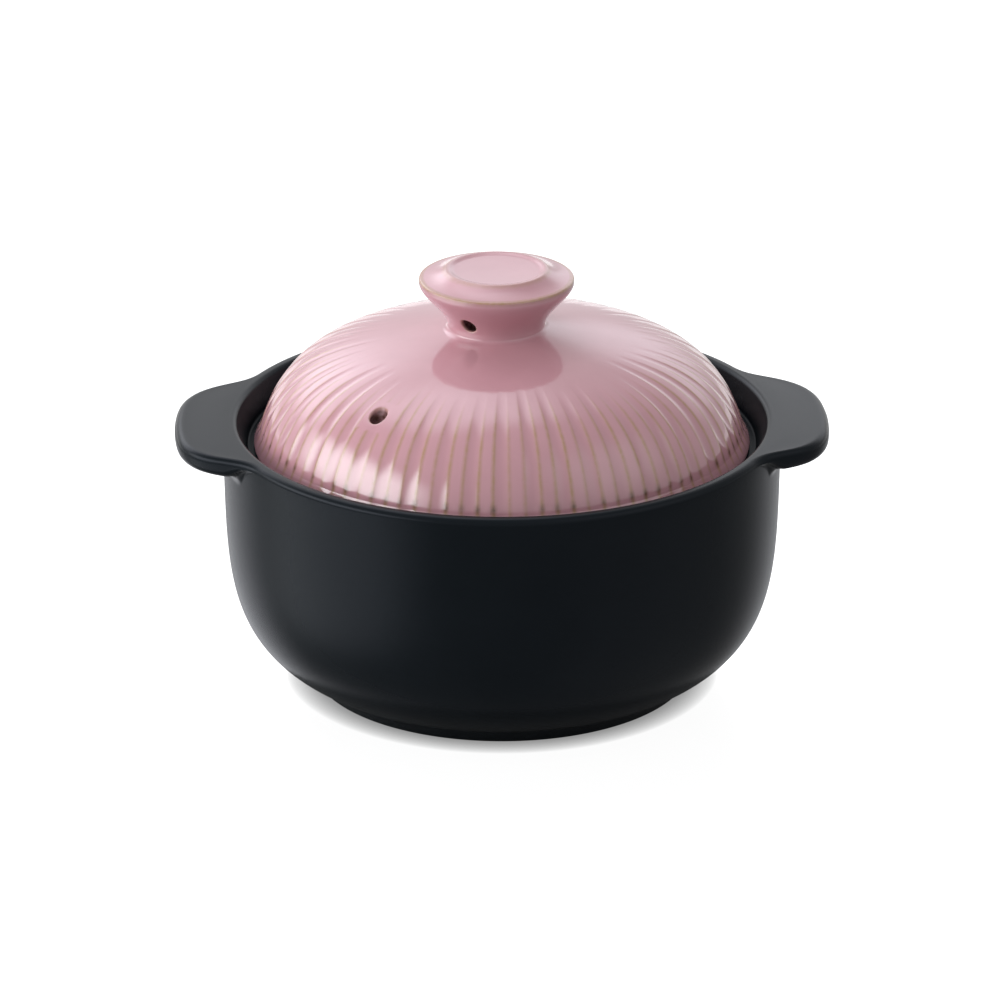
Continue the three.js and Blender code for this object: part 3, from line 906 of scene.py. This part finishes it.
def lid_knob(dome, glaze):
    """The knob with its foot run out on the dome, its hollow and its vent."""
    skin = Skin()
    angles = round_the_axis(KNOB_COLUMNS)
    axis = np.array((KNOB_X, 0, 0))
    outline, flare = knob_outside()
    radius = outline[:, :1]
    height = outline[:, 1:]
    on_lip = height > KNOB_TOP - LIP_WEAR_WIDTH
    lip_wear = LIP_WEAR * peak(radius, KNOB_CREST_RADIUS + LIP_WEAR_OFFSET, LIP_WEAR_WIDTH) * on_lip
    on_brim = radius > KNOB_RADIUS - BRIM_WEAR_REACH
    brim_edge = KNOB_SEAT + KNOB_BRIM_HEIGHT - BRIM_WEAR_DROP
    brim_wear = peak(height, brim_edge, BRIM_WEAR_WIDTH) * on_brim
    outside = skin.add(turned(outline, angles) + axis, thin=np.maximum(lip_wear, brim_wear))

    bend = np.radians(np.linspace(0, 90, FILLET_ROWS + 1))[:-1, None]
    spread = KNOB_BASE_RADIUS - (KNOB_BASE_RADIUS - KNOB_NECK_RADIUS) * np.sin(bend)
    x = KNOB_X + spread * np.cos(angles)
    y = spread * np.sin(angles)
    seat = dome.height(np.hypot(x, y))
    rise = (outline[0, 1] - seat) * (1 - np.cos(bend))
    fillet = skin.add(np.stack((x, y, seat + rise), axis=-1), pooled=0.6)

    hollow_outline, hollow_row = knob_hollow()
    # The hollow is painted part way to dark brown: painted shade inside the knob, over the clay's own
    # brown.
    hollow = skin.add(turned(hollow_outline, angles) + axis, scorched=0.6)
    hollow_foot = turned(np.array(((KNOB_HOLLOW_RADIUS, 0),)), angles) + axis
    hollow_foot[..., 2] = dome.height(np.hypot(hollow_foot[..., 0], hollow_foot[..., 1]))
    foot = skin.add(hollow_foot)
    roof = skin.add(axis + np.array(((0, 0, KNOB_HOLLOW_TOP),)))
    middle = skin.add(axis + np.array(((0, 0, outline[-1, 1]),)))

    vent_angle = math.radians(270 - KNOB_VENT_ANGLE)
    column = int(np.argmin(np.abs(angles - vent_angle))) - KNOB_WINDOW // 2
    row_above_neck = 1
    outer_window = (row_above_neck, column, KNOB_WINDOW)
    hollow_window = (hollow_row, column, KNOB_WINDOW)
    skin.cover(np.vstack((np.broadcast_to(roof, (1, KNOB_COLUMNS)), hollow[:1])))
    skin.cover(hollow, window=hollow_window)
    skin.cover(np.vstack((hollow[-1:], foot)))
    skin.cover(np.vstack((foot, fillet[:1])), shown=False)
    skin.cover(np.vstack((fillet, outside[:1])))
    skin.cover(outside, window=outer_window)
    skin.cover(np.vstack((outside[-1:], np.broadcast_to(middle, (1, KNOB_COLUMNS)))))

    level, upward = dome.lean(np.hypot(x[0], y[0]))
    turn = np.arctan2(y[0], x[0])
    skin.face(fillet[0], np.column_stack((level * np.cos(turn), level * np.sin(turn), upward)))

    ahead = np.array((math.cos(vent_angle), math.sin(vent_angle), 0))
    across = np.array((-ahead[1], ahead[0], 0))
    bore = Bore(KNOB_VENT_RADIUS, KNOB_VENT_LIP, across, np.array((0, 0, 1)))
    centre = axis + np.array((0, 0, KNOB_SEAT + KNOB_VENT_HEIGHT))

    def on_wall(radius_at):
        def place(at):
            radius = radius_at(centre[2] + at[:, 1])
            reach = np.sqrt(radius**2 - at[:, 0] ** 2)
            level_part = at[:, :1] * across + reach[:, None] * ahead
            return centre + level_part + at[:, 1:] * np.array((0, 0, 1))
        return place

    outer_loop = window_loop(outside, outer_window)
    hollow_loop = window_loop(hollow, hollow_window)
    flare_place = on_wall(lambda height: np.interp(height, flare[:, 1], flare[:, 0]))
    outer_ring = bore.fill(skin, outer_loop, centre, flare_place, -ahead, -135, 1)
    hollow_ring = bore.fill(skin, hollow_loop, centre, on_wall(hollow_radius), ahead, 135, -1)
    bore.line(skin, outer_ring, hollow_ring)
    skin.turn(-LID_TURN)
    return skin.piece("lid_knob", "lid", (glaze,))


class Nodes:
    """The nodes of a material, world or lamp, added and joined by short calls."""

    def __init__(self, tree):
        self.tree = tree

    def node(self, kind, **inputs):
        made = self.tree.nodes.new("ShaderNode" + kind)
        for name, value in inputs.items():
            self.set(made.inputs[name.replace("_", " ")], value)
        return made

    def set(self, socket, value):
        if isinstance(value, bpy.types.NodeSocket):
            self.tree.links.new(value, socket)
        else:
            socket.default_value = value

    def ramp(self, value, low, high, to_low=0.0, to_high=1.0):
        """Goes from to_low to to_high while the value goes from low to high."""
        made = self.node(
            "MapRange",
            Value=value,
            From_Min=low,
            From_Max=high,
            To_Min=to_low,
            To_Max=to_high,
        )
        return made.outputs["Result"]

    def soft_ramp(self, value, low, high):
        """A ramp from 0 to 1 that starts and ends gently."""
        result = self.ramp(value, low, high)
        result.node.interpolation_type = "SMOOTHSTEP"
        return result

    def math(self, operation, *values):
        made = self.node("Math")
        made.operation = operation
        made.use_clamp = True
        for socket, value in zip(made.inputs, values):
            self.set(socket, value)
        return made.outputs[0]

    def parts(self, vector):
        """The X, Y and Z parts of a vector."""
        return self.node("SeparateXYZ", Vector=vector).outputs

    def white_where_seen(self, gloss):
        """1 for rays from the camera, and a share of that for those that reach it by gloss or glass."""
        path = self.node("LightPath").outputs
        with_gloss = self.math("MULTIPLY_ADD", path["Is Glossy Ray"], gloss, path["Is Camera Ray"])
        return self.math("MULTIPLY_ADD", path["Is Transmission Ray"], gloss, with_gloss)


class Shader(Nodes):
    """A new material whose colour comes from noise, from how the glaze lies and from painted shade."""

    def __init__(self, name):
        self.material = bpy.data.materials.new(name)
        self.material.use_nodes = True
        super().__init__(self.material.node_tree)
        self.surface = self.tree.nodes["Principled BSDF"]

    def noise(self, scale, detail=3.0):
        place = self.node("TexCoord").outputs["Object"]
        made = self.node("TexNoise", Vector=place, Scale=scale, Detail=detail, Roughness=0.55)
        return made.outputs["Fac"]

    def mix(self, share, first, second):
        made = self.node("Mix")
        made.data_type = "RGBA"
        self.set(made.inputs[0], share)
        self.set(made.inputs[6], first)
        self.set(made.inputs[7], second)
        return made.outputs[2]

    def times(self, first, second):
        return self.math("MULTIPLY", first, second)

    def attribute(self, name):
        made = self.node("Attribute")
        made.attribute_name = name
        return made.outputs["Fac"]

    def bump(self, height, distance):
        made = self.node("Bump", Height=height, Distance=distance, Strength=1.0)
        self.set(self.surface.inputs["Normal"], made.outputs["Normal"])

    def finish(self, **inputs):
        for name, value in inputs.items():
            self.set(self.surface.inputs[name.replace("_", " ")], value)
        return self.material


def black_glaze():
    """Satin black glaze: faint cloudiness and an uneven sheen."""
    shader = Shader("black_glaze")
    cloud = shader.noise(28)
    grain = shader.noise(900, detail=2)
    dark = (0.0052, 0.0075, 0.0095, 1)
    paler = (0.0065, 0.009, 0.0115, 1)
    colour = shader.mix(shader.ramp(cloud, 0.3, 0.7), dark, paler)
    shader.bump(shader.noise(90, detail=1), 0.008 * MM)
    return shader.finish(
        Base_Color=colour,
        Roughness=shader.ramp(grain, 0.3, 0.7, 0.24, 0.27),
        IOR=1.22,
        Specular_IOR_Level=shader.ramp(shader.attribute("thin"), 0, 1, 0.5, 0.05),
        Specular_Tint=(0.84, 0.87, 1, 1),
    )


def pink_glaze():
    """Glossy pink glaze: thin and tan on edges, deeper where it pools, with dark brown spots at the
    flutes' feet, and dark brown painted shade, over the clay's brown, inside the vents and the knob's
    hollow.
    """
    shader = Shader("pink_glaze")
    cloud = shader.ramp(shader.noise(45, detail=4), 0.3, 0.7)
    speckle = shader.noise(420, detail=3)
    break_up = shader.ramp(speckle, 0.3, 0.65, 0.6, 1.0)
    glazed = shader.mix(cloud, (0.575, 0.303, 0.345, 1), (0.54, 0.28, 0.32, 1))
    pools = shader.times(shader.attribute("pooled"), 0.5)
    pooled = shader.mix(pools, glazed, (0.5, 0.25, 0.29, 1))
    edges = shader.times(shader.attribute("thin"), break_up)
    worn = shader.mix(edges, pooled, (0.385, 0.23, 0.12, 1))
    # Dark brown: real spots at the flutes' feet, and painted shade inside the vents and the knob's
    # hollow.
    spots_and_shade = shader.times(shader.attribute("scorched"), break_up)
    colour = shader.mix(spots_and_shade, worn, (0.09, 0.042, 0.034, 1))
    shader.bump(shader.noise(160, detail=3), 0.03 * MM)
    return shader.finish(
        Base_Color=colour,
        Roughness=shader.ramp(shader.noise(60), 0.3, 0.7, 0.08, 0.11),
        IOR=1.72,
    )


def bare_clay():
    """Unglazed fired clay with a sandy grain."""
    shader = Shader("bare_clay")
    grain = shader.noise(1500, detail=4)
    dark = (0.05, 0.043, 0.038, 1)
    paler = (0.085, 0.072, 0.062, 1)
    colour = shader.mix(shader.ramp(grain, 0.3, 0.7), dark, paler)
    shader.bump(grain, 0.12 * MM)
    return shader.finish(Base_Color=colour, Roughness=0.85)


def floor():
    """A plain pale satin floor whose glow is white where it is seen, with a painted contact shadow where
    the pot stands close over it.
    For gloss its glow is a painted pool of light, strongest on its far part, in place of the lit back of
    the studio."""
    size = FLOOR_REACH
    mesh = bpy.data.meshes.new("floor")
    corners = [(-size, -size, 0), (size, -size, 0), (size, size, 0), (-size, size, 0)]
    mesh.from_pydata(corners, [], [(0, 1, 2, 3)])
    shader = Shader("pale_floor")
    # Ambient occlusion dims the floor's glow near the pot: a painted contact shadow.
    nearness = shader.node("AmbientOcclusion", Distance=8 * MM)
    glow_with_painted_shadow = shader.ramp(nearness.outputs["AO"], 0.2, 1, 0.29, 0.95)
    # Glossy rays see more glow on the far part of the floor: a painted pool of light.
    far_back = shader.parts(shader.node("TexCoord").outputs["Object"])["Y"]
    gloss = shader.ramp(far_back, 0.4, 0.8, 0.05, 0.85)
    mesh.materials.append(shader.finish(
        Base_Color=(0.12, 0.12, 0.12, 1),
        Roughness=0.16,
        IOR=4,
        Emission_Color=(1, 1, 1, 1),
        Emission_Strength=shader.times(glow_with_painted_shadow, shader.white_where_seen(gloss)),
    ))
    made = bpy.data.objects.new("floor", mesh)
    bpy.context.scene.collection.objects.link(made)


def world():
    """Pale surroundings: white where they are seen, and a plain fill light elsewhere.
    Gloss shows their back the most."""
    made = bpy.data.worlds.new("studio")
    bpy.context.scene.world = made
    made.use_nodes = True
    nodes = Nodes(made.node_tree)
    towards_back = nodes.parts(nodes.node("TexCoord").outputs["Generated"])["Y"]
    gloss = nodes.ramp(towards_back, 0.4, 0.95, 0.08, 0.9)
    background = nodes.tree.nodes["Background"]
    seen = nodes.white_where_seen(gloss)
    nodes.set(background.inputs["Color"], (1, 1, 1, 1))
    nodes.set(background.inputs["Strength"], nodes.ramp(seen, 0, 1, FILL_LIGHT, 1))


def softbox(name, place, width, height, light, colour=(1, 1, 1)):
    """A rectangular lamp aimed at the pot, fading towards its edges.
    Its light is the brightness of a white card held at the pot."""
    aim = Vector((0, 0, LAMP_TARGET_HEIGHT)) - Vector(place)
    lamp = bpy.data.lights.new(name, "AREA")
    lamp.shape = "RECTANGLE"
    lamp.size = width
    lamp.size_y = height
    lamp.color = colour
    lamp.energy = light * math.pi**2 * aim.length_squared / (1 - SOFTBOX_EDGE) ** 2
    lamp.use_nodes = True
    nodes = Nodes(lamp.node_tree)
    across = nodes.parts(nodes.node("NewGeometry").outputs["Parametric"])
    fades = [
        nodes.soft_ramp(nodes.math("PINGPONG", across[axis], 0.5), 0, SOFTBOX_EDGE)
        for axis in ("X", "Y")
    ]
    nodes.set(nodes.tree.nodes["Emission"].inputs["Strength"], nodes.math("MULTIPLY", *fades))
    made = bpy.data.objects.new(name, lamp)
    made.location = place
    made.rotation_euler = aim.to_track_quat("-Z", "Y").to_euler()
    bpy.context.scene.collection.objects.link(made)


def lights():
    """A long bright softbox at the left, and weaker ones behind, above and at the right."""
    softbox("left_softbox", (-1.48, -0.38, 0.58), 3.2, 1.1, 0.86, (0.97, 1, 1.01))
    softbox("left_back_softbox", (-0.9, 1.25, 0.9), 2.2, 1.2, 0.23, (0.96, 0.98, 1.06))
    softbox("top_softbox", (-0.35, 0.7, 1.55), 1.9, 1.7, 0.21, (0.97, 0.98, 1.05))
    softbox("back_softbox", (0.7, 1.48, 0.75), 2.5, 0.9, 0.075, (0.95, 0.98, 1.06))
    softbox("right_softbox", (1.7, -1.05, 1.5), 3.6, 2.8, 0.11)


def camera():
    """Stands where the photograph was taken from. Its shift is the photograph's framing."""
    lens = bpy.data.cameras.new("camera")
    lens.sensor_width = SENSOR_WIDTH
    lens.lens = LENS_LENGTH
    lens.shift_x, lens.shift_y = FRAMING_SHIFT
    made = bpy.data.objects.new("camera", lens)
    turn = math.radians(CAMERA_TURN)
    elevation = math.radians(CAMERA_ELEVATION)
    target = Vector((0, 0, CAMERA_TARGET_HEIGHT))
    level = -CAMERA_DISTANCE * math.cos(elevation)
    rise = CAMERA_DISTANCE * math.sin(elevation)
    made.location = target + Vector((level * math.sin(turn), level * math.cos(turn), rise))
    made.rotation_euler = (target - made.location).to_track_quat("-Z", "Y").to_euler()
    bpy.context.scene.collection.objects.link(made)
    bpy.context.scene.camera = made


black = black_glaze()
pink = pink_glaze()
clay = bare_clay()
pot_bowl(black)
foot_ring(black, clay)
handle("right_handle", 0, black)
handle("left_handle", 180, black)
dome = Dome()
lid_dome(dome, pink, clay)
lid_knob(dome, pink)
camera()
floor()
world()
lights()
bpy.context.scene.view_settings.view_transform = "Standard"
